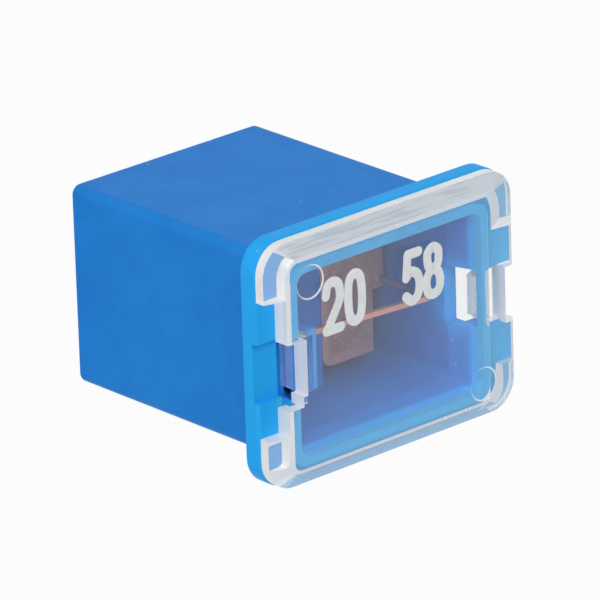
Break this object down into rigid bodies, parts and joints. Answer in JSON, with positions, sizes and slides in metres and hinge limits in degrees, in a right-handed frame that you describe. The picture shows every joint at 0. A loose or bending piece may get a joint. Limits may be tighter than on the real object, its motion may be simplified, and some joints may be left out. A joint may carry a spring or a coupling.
{
  "type": "fusible link",
  "caption": "Box-shaped push-on fuse: blue moulded housing with a flange, clear latched cover and a folded copper element with socket terminals.",
  "frame": {"origin": "centre of the flange's outline, on the plane of the terminal rim the part stands on", "axes": "+Z from the terminal rim out of the window, X along the window's long side with the latch on +X, +Y along its short side, towards the numerals' tops"},
  "size_m": [0.0156, 0.012, 0.0159],
  "materials": {
    "housing_blue": "moulded, glossy, slightly mottled",
    "cover_clear": "moulded, clear, with frosted long edges",
    "element_copper": "rolled and stamped copper alloy, slightly dull"
  },
  "bodies": {
    "root": {"housing": "housing_blue", "cover": "cover_clear", "fuse_element": "element_copper"}
  },
  "joints": []
}
